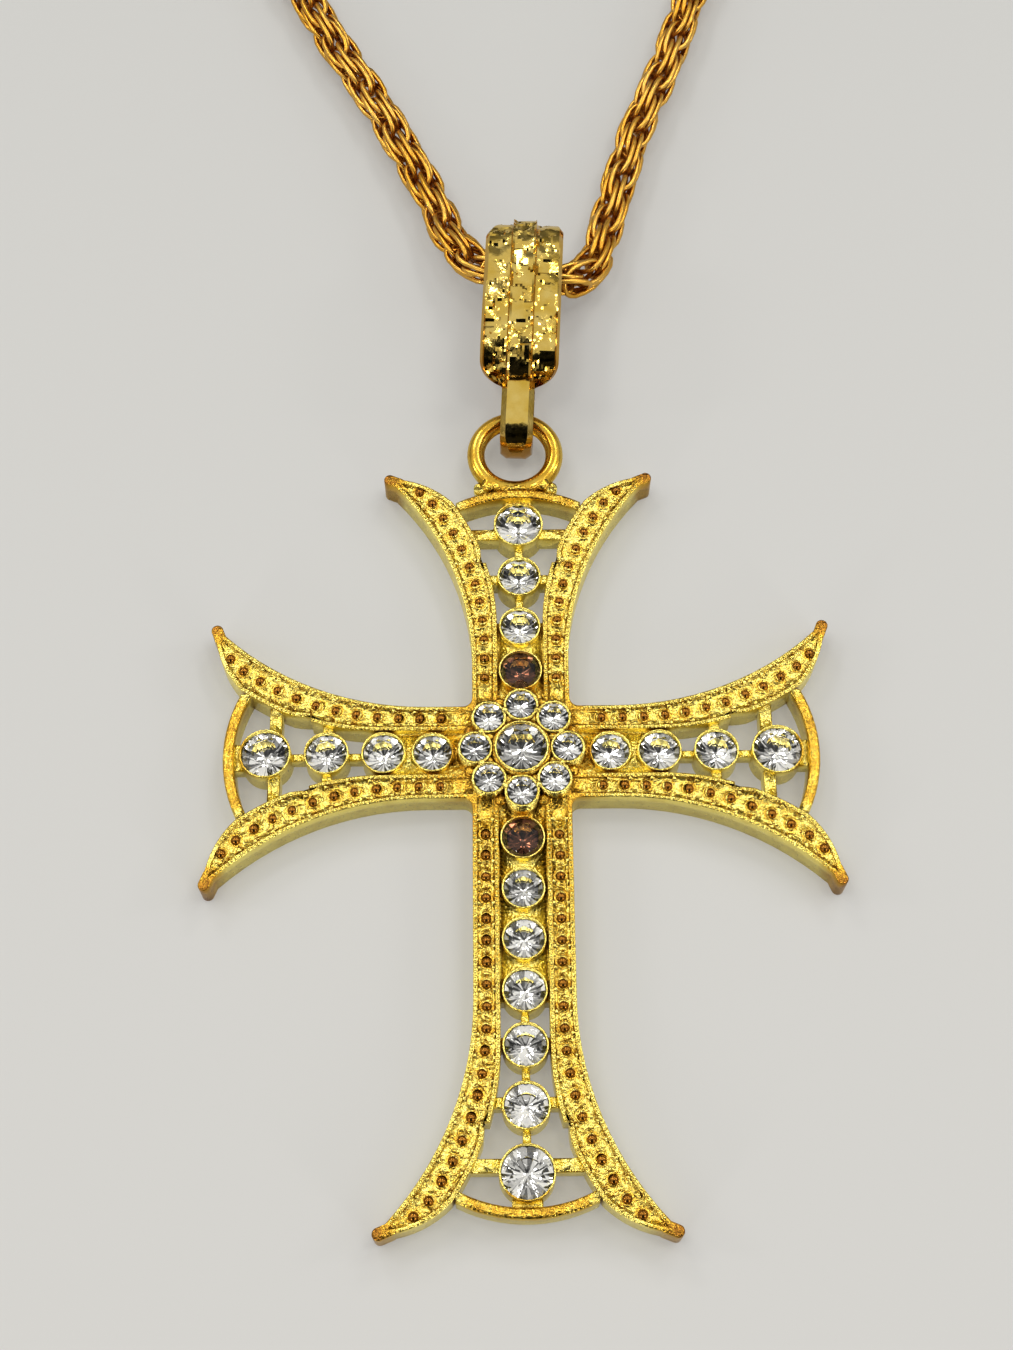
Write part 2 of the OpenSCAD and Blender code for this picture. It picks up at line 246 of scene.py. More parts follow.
# Painted shade in the hollows of the casting, the bail and the chain, the chain's red-brown like the
# light its links throw on each other, and painted shade on the bail's sides
GOLD_HOLLOW_SHADE = (0.3, 0.16, 0.015)
BAIL_HOLLOW_SHADE = (0.1, 0.05, 0.01)
CHAIN_HOLLOW_SHADE = (0.5, 0.18, 0.015)
BAIL_SIDE_SHADE = (0.42, 0.2, 0.03)

# Glass and the coats behind it
CLEAR_GLASS = (1, 1, 1)
BROWN_GLASS = (0.66, 0.52, 0.45)
SILVER_COAT = (0.98, 0.975, 0.96)
BROWN_COAT = (0.5, 0.37, 0.3)
# Painted reflection: the share of a coat's colour on its darkest facets, which stand in for the dark
# they mirror
PAINTED_FACET_DIM = 0.4
GLASS_SMEAR = 0.02

# Camera: what it looks at, how far away and how it leans, then its lens and sensor in millimetres
VIEW_TARGET = Vector((-1.18, 6.91, 2.9)) * MM
VIEW_DISTANCE = 165 * MM
VIEW_LEAN = math.radians(23.5)
VIEW_TURN = math.radians(-0.585)
VIEW_GAMMA = 0.82
LENS = 52
SENSOR = 36
NEAREST = 5 * MM

# The floor: its half width, its tones beyond the cross and at its foot, painted light that makes it
# paler at its foot, and its own glow, painted light that lightens the shadows on it
FLOOR_HALF = 3
FLOOR_FAR_Y = 100 * MM
FLOOR_NEAR_Y = -60 * MM
FLOOR_PAINTED_LIGHT_TONES = [(0, (0.288, 0.286, 0.276)), (1, (0.338, 0.332, 0.32))]
FLOOR_PAINTED_GLOW = (1, 0.99, 0.955)
PAINTED_GLOW_STRENGTH = 0.3

# The room: its light, and its darker sides, each with its heading, the cosines of the angles from it
# at which the dark and the full light begin, and the share of light left in the dark
ROOM_COLOUR = (1, 0.99, 0.96)
ROOM_LIGHT = 0.9
DARK_SIDES = [
    (Vector((0, -0.93, 0.37)), 0.95, 0.8, 0.05), (Vector((0, -0.7, 0.714)), 0.96, 0.9, 0.05),
    (Vector((0.02, -0.4, 0.917)), 0.985, 0.95, 0.05), (Vector((0.15, 0.92, 0.36)), 0.95, 0.85, 0.35),
]

# The lamps: how far away and how wide they are, then the heading and power of each
LAMP_DISTANCE = 0.5
LAMP_SIZE = 0.08
LAMPS = [
    (0.55, 0.4, 0.9, 0.2), (0.35, 0.75, 0.77, 0.2), (-0.4, 0.75, 0.75, 0.2), (-0.55, 0.35, 0.9, 0.2),
    (-0.3, -0.05, 1.1, 0.2), (0.35, 0, 1.05, 0.2), (-0.9, 0.1, 0.45, 0.2), (0.9, 0.15, 0.45, 0.2),
    (-0.55, -0.75, 0.25, 0.3), (0.6, -0.7, 0.25, 0.3),
]


def make_camera():
    """A camera above the foot of the cross that leans towards its head."""
    data = bpy.data.cameras.new("camera")
    data.lens = LENS
    data.sensor_width = SENSOR
    data.clip_start = NEAREST
    camera = bpy.data.objects.new("camera", data)
    bpy.context.scene.collection.objects.link(camera)
    turn = Matrix.Rotation(VIEW_TURN, 4, "Z") @ Matrix.Rotation(VIEW_LEAN, 4, "X")
    back = turn @ Vector((0, 0, VIEW_DISTANCE))
    camera.matrix_world = Matrix.Translation(VIEW_TARGET + back) @ turn
    bpy.context.scene.camera = camera


def make_lamp(x, y, z, power):
    """A small square light that faces the cross from a direction."""
    data = bpy.data.lights.new("lamp", "AREA")
    data.shape = "SQUARE"
    data.size = LAMP_SIZE
    data.energy = power
    light = bpy.data.objects.new("lamp", data)
    bpy.context.scene.collection.objects.link(light)
    away = Vector((x, y, z)).normalized()
    aim = away.to_track_quat("Z", "Y").to_matrix().to_4x4()
    light.matrix_world = Matrix.Translation(away * LAMP_DISTANCE) @ aim


def make_world():
    """A pale room, dim near the floor, dark where the camera stands and half dark beyond the cross."""
    world = bpy.data.worlds.new("studio")
    bpy.context.scene.world = world
    world.use_nodes = True
    nodes, links = world.node_tree.nodes, world.node_tree.links
    nodes.clear()
    place = nodes.new("ShaderNodeTexCoord")
    parts = nodes.new("ShaderNodeSeparateXYZ")
    links.new(place.outputs["Generated"], parts.inputs[0])
    light = ROOM_LIGHT
    for heading, dark, clear, left in DARK_SIDES:
        toward = nodes.new("ShaderNodeVectorMath")
        toward.operation = "DOT_PRODUCT"
        toward.inputs[1].default_value = heading
        links.new(place.outputs["Generated"], toward.inputs[0])
        open_sky = spread(nodes, links, toward.outputs["Value"], dark, clear, left, 1)
        light = sums(nodes, links, "MULTIPLY", open_sky, light)
    lifted = spread(nodes, links, parts.outputs["Z"], 0.0, 0.5, 0.3, 1)
    background = nodes.new("ShaderNodeBackground")
    background.inputs["Color"].default_value = (*ROOM_COLOUR, 1)
    strength = sums(nodes, links, "MULTIPLY", light, lifted)
    links.new(strength, background.inputs["Strength"])
    out = nodes.new("ShaderNodeOutputWorld")
    links.new(background.outputs[0], out.inputs[0])


def new_material(name):
    """An empty material with a Principled shader, its nodes and its links."""
    material = bpy.data.materials.new(name)
    material.use_nodes = True
    nodes, links = material.node_tree.nodes, material.node_tree.links
    nodes.clear()
    shader = nodes.new("ShaderNodeBsdfPrincipled")
    out = nodes.new("ShaderNodeOutputMaterial")
    links.new(shader.outputs[0], out.inputs["Surface"])
    return material, shader, nodes, links


def noise(nodes, links, size):
    """Cloudy noise in the object's space, with clouds of a size in metres."""
    place = nodes.new("ShaderNodeTexCoord")
    texture = nodes.new("ShaderNodeTexNoise")
    texture.inputs["Scale"].default_value = 1 / size
    texture.inputs["Detail"].default_value = 2
    links.new(place.outputs["Object"], texture.inputs["Vector"])
    return texture.outputs["Fac"]


def sums(nodes, links, operation, first, second):
    """The result of a Math node whose inputs are sockets or numbers."""
    step = nodes.new("ShaderNodeMath")
    step.operation = operation
    for socket, value in zip(step.inputs, (first, second)):
        if isinstance(value, (int, float)):
            socket.default_value = value
        else:
            links.new(value, socket)
    return step.outputs[0]


def spread(nodes, links, value, low, high, to_low, to_high):
    """A value moved from one range to another, and held inside it."""
    step = nodes.new("ShaderNodeMapRange")
    links.new(value, step.inputs["Value"])
    step.inputs["From Min"].default_value = low
    step.inputs["From Max"].default_value = high
    step.inputs["To Min"].default_value = to_low
    step.inputs["To Max"].default_value = to_high
    return step.outputs["Result"]


def toned(nodes, links, value, tones):
    """A colour picked from a list of places and colours."""
    ramp = nodes.new("ShaderNodeValToRGB")
    stops = ramp.color_ramp.elements
    while len(stops) < len(tones):
        stops.new(0.5)
    for stop, (place, colour) in zip(stops, tones):
        stop.position = place
        stop.color = (*colour, 1)
    links.new(value, ramp.inputs[0])
    return ramp.outputs["Color"]


def attribute(nodes, name):
    """A value that the mesh holds at its corners."""
    held = nodes.new("ShaderNodeAttribute")
    held.attribute_name = name
    return held.outputs["Fac"]


def up_facing(nodes, links):
    """1 where a surface faces up, 0 on walls."""
    surface = nodes.new("ShaderNodeNewGeometry")
    parts = nodes.new("ShaderNodeSeparateXYZ")
    links.new(surface.outputs["Normal"], parts.inputs[0])
    return spread(nodes, links, parts.outputs["Z"], 0.3, 0.8, 0, 1)


def crevice(nodes, links, depth):
    """Near 0 in tight corners of the piece and 1 on open surfaces."""
    hollow = nodes.new("ShaderNodeAmbientOcclusion")
    hollow.only_local = True
    hollow.samples = 8
    hollow.inputs["Distance"].default_value = depth
    return hollow.outputs["AO"]


def rough_bump(nodes, links, shader, height, depth, strength):
    """Makes a surface look as if it rose and fell with a height, by up to a depth."""
    bump = nodes.new("ShaderNodeBump")
    bump.inputs["Distance"].default_value = depth
    bump.inputs["Strength"].default_value = strength
    links.new(height, bump.inputs["Height"])
    links.new(bump.outputs["Normal"], shader.inputs["Normal"])


def mixed(nodes, links, share, first, second):
    """A mix of two colours, each a socket or a fixed colour."""
    mix = nodes.new("ShaderNodeMix")
    mix.data_type = "RGBA"
    links.new(share, mix.inputs["Factor"])
    # The node's sockets for colours are its inputs 6 and 7 and its output 2
    for socket, value in zip((mix.inputs[6], mix.inputs[7]), (first, second)):
        if isinstance(value, tuple):
            socket.default_value = (*value, 1)
        else:
            links.new(value, socket)
    return mix.outputs[2]


def cast_gold():
    """Lemon gold with fine cast grain on its tops, satin walls and browned beads, with painted shade
    that tones its tops browner than its walls and painted shade that darkens its crevices.
    """
    material, shader, nodes, links = new_material("cast gold")
    shader.inputs["Metallic"].default_value = 1
    patina, smooth = attribute(nodes, "patina"), attribute(nodes, "smooth")
    fine = noise(nodes, links, 0.24 * MM)
    cloud = spread(nodes, links, noise(nodes, links, 1.2 * MM), 0.3, 0.7, -0.1, 0.14)
    # Painted shade: surfaces that face up are toned up to 0.12 browner than the walls, so the tops read
    # darker and the walls paler; from here the cloud carries this painted shade too
    painted_top_shade = spread(nodes, links, up_facing(nodes, links), 0, 1, 0, 0.12)
    cloud = sums(nodes, links, "ADD", cloud, painted_top_shade)
    pits = spread(nodes, links, fine, 0.35, 0.65, 0.2, -0.1)
    rough = sums(nodes, links, "SUBTRACT", up_facing(nodes, links), smooth)
    pits = sums(nodes, links, "MULTIPLY", pits, rough)
    browning_and_top_shade = sums(nodes, links, "ADD", sums(nodes, links, "ADD", patina, cloud), pits)
    tone = toned(nodes, links, browning_and_top_shade, GOLD_TONES)
    # Painted shade: where the casting hides its own tight corners, the gold is mixed towards a dark
    # brown
    open_share = spread(nodes, links, crevice(nodes, links, 0.45 * MM), 0.35, 0.9, 0, 1)
    colour = mixed(nodes, links, open_share, GOLD_HOLLOW_SHADE, tone)
    links.new(colour, shader.inputs["Base Color"])
    gloss = spread(nodes, links, fine, 0.3, 0.7, 0.16, 0.28)
    satin = spread(nodes, links, up_facing(nodes, links), 0, 1, 0.1, 0)
    links.new(sums(nodes, links, "ADD", gloss, satin), shader.inputs["Roughness"])
    depth = spread(nodes, links, rough, 0, 1, 0.05, 1)
    rough_bump(nodes, links, shader, sums(nodes, links, "MULTIPLY", fine, depth), 0.1 * MM, 1)
    return material


def hammered_gold():
    """Bright gold of the bail, with painted shade that browns its sides and darkens its hollows."""
    material, shader, nodes, links = new_material("hammered gold")
    shader.inputs["Metallic"].default_value = 1
    cloud = noise(nodes, links, 1.5 * MM)
    tone = toned(nodes, links, cloud, BAIL_TONES)
    # Painted shade: the bail's tight hollows are mixed towards near black
    open_share = spread(nodes, links, crevice(nodes, links, 0.4 * MM), 0.3, 0.8, 0, 1)
    # Painted shade: surfaces of the bail that do not face up are mixed towards a dark brown
    top = spread(nodes, links, up_facing(nodes, links), 0, 1, 0.2, 1)
    tone = mixed(nodes, links, top, BAIL_SIDE_SHADE, tone)
    colour = mixed(nodes, links, open_share, BAIL_HOLLOW_SHADE, tone)
    links.new(colour, shader.inputs["Base Color"])
    fine = noise(nodes, links, 0.3 * MM)
    links.new(spread(nodes, links, fine, 0.3, 0.7, 0.06, 0.18), shader.inputs["Roughness"])
    rough_bump(nodes, links, shader, fine, 0.03 * MM, 0.6)
    return material


def chain_gold():
    """Warm orange gold of the chain, with red-brown painted shade where its links cross."""
    material, shader, nodes, links = new_material("chain gold")
    shader.inputs["Metallic"].default_value = 1
    cloud = noise(nodes, links, 4 * MM)
    tone = toned(nodes, links, cloud, CHAIN_TONES)
    # Painted shade: where the links hide each other the gold is mixed towards red-brown, standing in
    # for the shade and the red light they throw on each other
    open_share = spread(nodes, links, crevice(nodes, links, 1.2 * MM), 0.15, 0.75, 0, 1)
    colour = mixed(nodes, links, open_share, CHAIN_HOLLOW_SHADE, tone)
    links.new(colour, shader.inputs["Base Color"])
    fine = noise(nodes, links, 0.3 * MM)
    links.new(spread(nodes, links, fine, 0.3, 0.7, 0.26, 0.4), shader.inputs["Roughness"])
    return material


def glass(name, colour):
    """Cut glass, faintly smeared."""
    material, shader, nodes, links = new_material(name)
    shader.inputs["Base Color"].default_value = (*colour, 1)
    shader.inputs["Transmission Weight"].default_value = 1
    shader.inputs["IOR"].default_value = 1.55
    haze = noise(nodes, links, 1.5 * MM)
    smear = spread(nodes, links, haze, 0.5, 0.8, 0.0, GLASS_SMEAR)
    links.new(smear, shader.inputs["Roughness"])
    return material


def foil(name, colour):
    """The mirror coat on the back of a stone, with painted reflections that make it darker on some
    facets than on others.
    """
    material, shader, nodes, links = new_material(name)
    shader.inputs["Metallic"].default_value = 1
    shaded_facet_colour = tuple(PAINTED_FACET_DIM * part for part in colour)
    tone = toned(nodes, links, attribute(nodes, "painted_facet_light"), [(0.15, shaded_facet_colour), (0.4, colour)])
    links.new(tone, shader.inputs["Base Color"])
    haze = noise(nodes, links, 0.8 * MM)
    links.new(spread(nodes, links, haze, 0.4, 0.7, 0.01, 0.04), shader.inputs["Roughness"])
    return material


def floor_material():
    """A smooth matt board with a glow of its own, painted light that lightens its shadows, and painted
    light that makes it a little paler towards the foot of the cross.
    """
    material, shader, nodes, links = new_material("pale floor")
    place = nodes.new("ShaderNodeTexCoord")
    parts = nodes.new("ShaderNodeSeparateXYZ")
    links.new(place.outputs["Object"], parts.inputs[0])
    # Painted light: the board's colour grows paler towards the foot of the cross
    down = spread(nodes, links, parts.outputs["Y"], FLOOR_FAR_Y, FLOOR_NEAR_Y, 0, 1)
    links.new(toned(nodes, links, down, FLOOR_PAINTED_LIGHT_TONES), shader.inputs["Base Color"])
    shader.inputs["Roughness"].default_value = 0.6
    # Painted light: the board glows, which lightens the shadows on it
    shader.inputs["Emission Color"].default_value = (*FLOOR_PAINTED_GLOW, 1)
    shader.inputs["Emission Strength"].default_value = PAINTED_GLOW_STRENGTH
    return material


def make_floor():
    """A wide flat floor under the necklace."""
    mesh = bpy.data.meshes.new("floor")
    bm = bmesh.new()
    bmesh.ops.create_grid(bm, x_segments=1, y_segments=1, size=FLOOR_HALF)
    bm.to_mesh(mesh)
    bm.free()
    floor = bpy.data.objects.new("floor", mesh)
    bpy.context.scene.collection.objects.link(floor)
    mesh.materials.append(floor_material())


def add_piece(name, bm, materials, nodes, crease=65):
    """Makes a piece that rides on the part and stands for its nodes."""
    mesh = bpy.data.meshes.new(name)
    bm.to_mesh(mesh)
    bm.free()
    for material in materials:
        mesh.materials.append(material)
    mesh.shade_smooth()
    mesh.set_sharp_from_angle(angle=math.radians(crease))
    piece = bpy.data.objects.new(name, mesh)
    bpy.context.scene.collection.objects.link(piece)
    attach(piece, "root")
    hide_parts(*nodes)


def as_shape(bm):
    """Keeps a bmesh as a shape that can be repeated."""
    bmesh.ops.recalc_face_normals(bm, faces=bm.faces)
    shape = bpy.data.meshes.new("shape")
    bm.to_mesh(shape)
    bm.free()
    return shape


def repeated(shape, places):
    """One mesh that holds a copy of a shape at each place."""
    corners = numpy.array([(*vert.co, 1) for vert in shape.vertices])
    points = numpy.concatenate([corners @ numpy.array(place).T for place in places])[:, :3]
    faces = [
        [corner + count * len(corners) for corner in face.vertices]
        for count in range(len(places)) for face in shape.polygons
    ]
    mesh = bpy.data.meshes.new("copies")
    mesh.from_pydata(points.tolist(), [], faces)
    return mesh


def join_copies(bm, shape, places):
    """Adds a copy of a shape to a bmesh at each place, and gives the new corners."""
    before = set(bm.verts)
    bm.from_mesh(repeated(shape, places))
    return [vert for vert in bm.verts if vert not in before]


def swell(part):
    """Moves a sine or cosine outwards, which makes an oval squarer."""
    return math.copysign(abs(part) ** (2 / LINK_SQUARE), part)


def link():
    """A squarish oval ring of round wire in the XY plane, drawn out along Y."""
    bm = bmesh.new()
    across = Matrix.Translation((LINK_R, 0, 0)) @ Matrix.Rotation(QUARTER, 4, "X")
    bmesh.ops.create_circle(bm, segments=6, radius=LINK_WIRE / 2, matrix=across)
    bmesh.ops.spin(
        bm, geom=bm.verts[:] + bm.edges[:], cent=(0, 0, 0), axis=(0, 0, 1),
        angle=FULL, steps=16, use_merge=True,
    )
    for vert in bm.verts:
        heading = math.atan2(vert.co.y, vert.co.x)
        along, side = math.sin(heading), math.cos(heading)
        vert.co.x += (swell(side) - side) * LINK_R
        vert.co.y += (LINK_OVAL * swell(along) - along) * LINK_R
    return as_shape(bm)


def ball(radius, sides, rows):
    """A ball with a few sides and rows."""
    bm = bmesh.new()
    bmesh.ops.create_uvsphere(bm, u_segments=sides, v_segments=rows, radius=radius)
    return as_shape(bm)


def outer_at(e):
    """Half width over both rails of an arm, at a distance from its tips."""
    rise = max(OUTER_START - e, 0)
    return SHOULDER_HALF + OUTER_SWEEP - math.sqrt(OUTER_SWEEP**2 - rise**2)


def inner_at(e):
    """Half width between the rails of an arm, at a distance from its tips."""
    rise = max(INNER_START - e, 0)
    channel = CHANNEL_HALF + INNER_SWEEP - math.sqrt(INNER_SWEEP**2 - rise**2)
    if e >= HORN_SWEEP:
        return channel
    horn = outer_at(0) - math.sqrt(HORN_SWEEP**2 - (HORN_SWEEP - e) ** 2)
    return max(channel, horn)


def rail_mid(e):
    """Distance of a rail's middle from the arm's, at a distance from the arm's tips."""
    return (outer_at(e) + inner_at(e)) / 2


def walk(line, first, last, step):
    """Distances from the tips, one step apart along a line of a rail."""
    e = first
    while e <= last:
        yield e
        slope = (line(e) - line(e + SLOPE_RUN)) / SLOPE_RUN
        e += step / math.hypot(1, slope)


def on_rail(rail, e, x, z):
    """The place on a rail that is e from the tips and x from the arm's middle line."""
    turn, side, reach = rail
    return Matrix.Rotation(turn, 3, "Z") @ Vector((side * x, reach - e, z))


def across_rail(rail, e):
    """The heading from a rail's middle to its outer side, square to it, and its half width that way."""
    ahead = on_rail(rail, e + SLOPE_RUN, rail_mid(e + SLOPE_RUN), 0) - on_rail(rail, e, rail_mid(e), 0)
    out = (on_rail(rail, e, outer_at(e), 0) - on_rail(rail, e, inner_at(e), 0)) / 2
    square = Vector((-ahead.y, ahead.x, 0)).normalized()
    if square.dot(out) < 0:
        square = -square
    return square, square.dot(out)


def bare_casting():
    """The casting without the plain beads on its rails."""
    bm = bmesh.new()
    bm.from_mesh(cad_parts["cross_frame"].data)
    bmesh.ops.remove_doubles(bm, verts=bm.verts, dist=WELD)
    spots = bead_spots()
    tree = KDTree(len(spots))
    for index, (rail, e, spot) in enumerate(spots):
        tree.insert((spot.x, spot.y, 0), index)
    tree.balance()
    old = []
    for face in bm.faces:
        middle = face.calc_center_median()
        if middle.z > BAND_FLOOR + HAIR:
            if tree.find((middle.x, middle.y, 0))[2] < BEAD_R + SLACK:
                old.append(face)
    bmesh.ops.delete(bm, geom=old, context="FACES")
    bmesh.ops.holes_fill(bm, edges=[edge for edge in bm.edges if edge.is_boundary], sides=0)
    bmesh.ops.triangulate(bm, faces=[face for face in bm.faces if len(face.verts) > 3])
    return bm


def is_rim(edge, height):
    """Whether an edge runs where a wall meets a flat top at a height."""
    if len(edge.link_faces) != 2 or not edge.is_convex:
        return False
    if any(abs(vert.co.z - height) > HAIR for vert in edge.verts):
        return False
    wall, top = sorted(abs(face.normal.z) for face in edge.link_faces)
    return wall < WALL_RISE and top > TOP_RISE


def soften(bm):
    """Rounds the rims of the rails, bezels, bars and struts."""
    for height, width in SOFT_RIMS:
        rims = [edge for edge in bm.edges if is_rim(edge, height)]
        bmesh.ops.bevel(
            bm, geom=rims, offset=width, offset_type="OFFSET", segments=2, profile=0.5,
            affect="EDGES", clamp_overlap=False, material=-1,
        )


def bead_spots():
    """Each bead's rail, distance from the tips and place."""
    return [
        (rail, e, on_rail(rail, e, rail_mid(e), BEAD_Z))
        for rail in RAILS for e in walk(rail_mid, FIRST_BEAD, rail[2] - LAST_BEAD, BEAD_PITCH)
    ]


def well():
    """The flat round plate under a bead."""
    bm = bmesh.new()
    bmesh.ops.create_cone(
        bm, cap_ends=True, segments=14, radius1=WELL_R, radius2=WELL_R * 0.9, depth=WELL_RISE,
    )
    return as_shape(bm)


def add_beads(bm, patina, smooth):
    """Smooth browned beads down the middle of each rail, each on a deep gold well."""
    beads, wells = [], []
    for rail, e, spot in bead_spots():
        fit = min(1, (across_rail(rail, e)[1] - GRAIN_INSET) / WELL_R)
        wells.append(Matrix.Translation((spot.x, spot.y, BAND_FLOOR)) @ Matrix.Scale(fit, 4))
        beads.append(Matrix.Translation(spot))
    for vert in join_copies(bm, well(), wells):
        vert[patina] = WELL_BROWN
    for vert in join_copies(bm, ball(BEAD_R, 12, 8), beads):
        vert[patina] = BEAD_BROWN
        vert[smooth] = 1


def tooth():
    """A low tooth with three sides that points along X."""
    bm = bmesh.new()
    bmesh.ops.create_cone(
        bm, cap_ends=True, segments=3, radius1=TOOTH_R * 1.25, radius2=TOOTH_R * 0.5,
        depth=TOOTH_HEIGHT,
    )
    return as_shape(bm)


def add_teeth(bm):
    """Teeth between the beads, pointing in from both borders."""
    places = []
    for rail in RAILS:
        for e in walk(rail_mid, FIRST_BEAD + BEAD_PITCH / 2, rail[2] - LAST_BEAD, BEAD_PITCH):
            out, half = across_rail(rail, e)
            middle = on_rail(rail, e, rail_mid(e), BAND_FLOOR + TOOTH_RISE)
            for side in (1, -1):
                spot = middle + out * side * (half - TOOTH_INSET)
                heading = math.atan2(-side * out.y, -side * out.x)
                places.append(Matrix.Translation(spot) @ Matrix.Rotation(heading, 4, "Z"))
    join_copies(bm, tooth(), places)


def edge_line(edge_at, side):
    """A line inside one edge of a rail, as far from it all along."""
    def line(e):
        slope = (edge_at(e) - edge_at(e + SLOPE_RUN)) / SLOPE_RUN
        return edge_at(e) + side * GRAIN_INSET * math.hypot(1, slope)
    return line


def add_grains(bm):
    """Fine grains along both edges of each rail."""
    outer, inner = edge_line(outer_at, -1), edge_line(inner_at, 1)
    places = [
        Matrix.Translation(on_rail(rail, e, line(e), RAIL_TOP - GRAIN_SINK))
        for rail in RAILS for line in (outer, inner)
        for e in walk(line, FIRST_GRAIN, rail[2] - LAST_GRAIN, GRAIN_STEP)
        if outer(e) - inner(e) > GRAIN_STEP
    ]
    join_copies(bm, ball(GRAIN_R, 6, 4), places)


def filler_ring():
    """A round wire ring that fills the gap about the large stone's setting."""
    bm = bmesh.new()
    across = Matrix.Translation((FILLER_REACH, 0, 0)) @ Matrix.Rotation(QUARTER, 4, "X")
    bmesh.ops.create_circle(bm, segments=8, radius=FILLER_R, matrix=across)
    bmesh.ops.spin(
        bm, geom=bm.verts[:] + bm.edges[:], cent=(0, 0, 0), axis=(0, 0, 1),
        angle=FULL, steps=48, use_merge=True,
    )
    return as_shape(bm)


def add_pads(bm, patina):
    """Small pads and prongs that fill the corners between the round stones in the middle."""
    for radius, height, share, brown, reach in PADS:
        places = []
        for turn in range(CLUSTER_STONES):
            heading = Matrix.Rotation((turn + 0.5) * FULL / CLUSTER_STONES, 4, "Z")
            places.append(
                heading @ Matrix.Translation((reach, 0, height)) @ Matrix.Scale(share, 4, (0, 0, 1))
            )
        for vert in join_copies(bm, ball(radius, 10, 6), places):
            vert[patina] = brown
    for vert in join_copies(bm, filler_ring(), [Matrix.Translation((0, 0, FILLER_Z))]):
        vert[patina] = FILLER_BROWN


def on_end_bar(spot):
    """Whether a place is on top of one of the bars that close the arms."""
    across, along = sorted((abs(spot.x), abs(spot.y)))
    reach = FOOT_REACH if spot.y < -ARM_REACH / 2 and along == abs(spot.y) else ARM_REACH
    return across < END_BAR_HALF and reach - along < END_BAR_DEPTH and spot.z > END_BAR_LOW


def shade_casting(bm, patina, smooth):
    """Marks how brown and how smooth each place of the plain casting is."""
    tips = [on_rail(rail, 0, outer_at(0), 0) for rail in RAILS]
    for vert in bm.verts:
        span = max(abs(vert.co.x), abs(vert.co.y))
        if abs(vert.co.z - BAND_FLOOR) < SLACK:
            vert[patina] = BAND_BROWN
        if span < CLUSTER_EDGE and CLUSTER_LOW < vert.co.z < CLUSTER_HIGH:
            vert[patina] = CLUSTER_BROWN
        near = min(math.dist(vert.co.xy, tip.xy) for tip in tips)
        if near < TIP_REACH:
            vert[patina] = TIP_BROWN * (1 - near / TIP_REACH)
        if vert.co.y > RING_FOOT_Y and (vert.co.xy - RING_MIDDLE).length < RING_REACH:
            vert[smooth] = 1
            vert[patina] = RING_BROWN
        if on_end_bar(vert.co):
            vert[patina] = END_BAR_BROWN


def make_casting(gold):
    """The cross with its softened rims and the relief on its rails and cluster."""
    bm = bare_casting()
    soften(bm)
    patina = bm.verts.layers.float.new("patina")
    smooth = bm.verts.layers.float.new("smooth")
    shade_casting(bm, patina, smooth)
    add_beads(bm, patina, smooth)
    add_teeth(bm)
    add_grains(bm)
    add_pads(bm, patina)
    add_piece("cross_casting", bm, [gold], ["cross_frame"])


def make_stone(node, cut_glass, backing, rng):
    """A round brilliant, cut glass in front and a mirror coat behind."""
    low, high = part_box(node)
    low, high = Vector(low), Vector(high)
    radius = (high.x - low.x) / 2 / math.cos(math.pi / STONE_SIDES)
    middle = (low + high) / 2
    girdle = low.z + STONE_DEPTH * radius
    bm = bmesh.new()
    for sides, share, height, turn in STONE_RINGS:
        place = Matrix.Translation((middle.x, middle.y, girdle + height * radius))
        spin = Matrix.Rotation(turn * FULL / sides, 4, "Z")
        bmesh.ops.create_circle(bm, segments=sides, radius=share * radius, matrix=place @ spin)
    bmesh.ops.convex_hull(bm, input=bm.verts)
    bmesh.ops.dissolve_limit(bm, angle_limit=STONE_FLAT, verts=bm.verts, edges=bm.edges)
    bmesh.ops.recalc_face_normals(bm, faces=bm.faces)
    painted_facet_light = bm.faces.layers.float.new("painted_facet_light")
    for face in bm.faces:
        face.material_index = 1 if face.normal.z < COAT_RISE else 0
        # Painted reflection: each facet gets a random tone that darkens some of them
        face[painted_facet_light] = rng.random()
    add_piece("cut_" + node, bm, [cut_glass, backing], [node], crease=1)


def make_stones():
    """Every stone in its own place, two of them brown."""
    clear = glass("clear cut glass", CLEAR_GLASS)
    silver = foil("silver coat", SILVER_COAT)
    smoky = glass("brown cut glass", BROWN_GLASS)
    copper = foil("brown coat", BROWN_COAT)
    rng = random.Random(3)
    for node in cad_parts:
        if node in BROWN_STONES:
            make_stone(node, smoky, copper, rng)
        elif node.startswith("stone"):
            make_stone(node, clear, silver, rng)


def lean(y, z):
    """How far a place is inside the bail's slanted foot."""
    return (y - FOOT_Y) * math.cos(FOOT_SLANT) + (z - BAIL_Z) * math.sin(FOOT_SLANT)


def round_off(depth, corner):
    """How much narrower a band is at a depth behind its rounded end."""
    short = min(max(corner - depth, 0), corner)
    return corner - math.sqrt(corner**2 - short**2)


def bail_half(x, y, z):
    """Half width of the bail's band at a place on one side of it."""
    foot = round_off(lean(y, z), FOOT_CORNER) if lean(y, z) > 0 else BAIL_HALF
    head = round_off(HEAD_Y - y, HEAD_RIGHT if x > 0 else HEAD_LEFT)
    return max(HOOK_HALF, BAIL_HALF - foot - head)


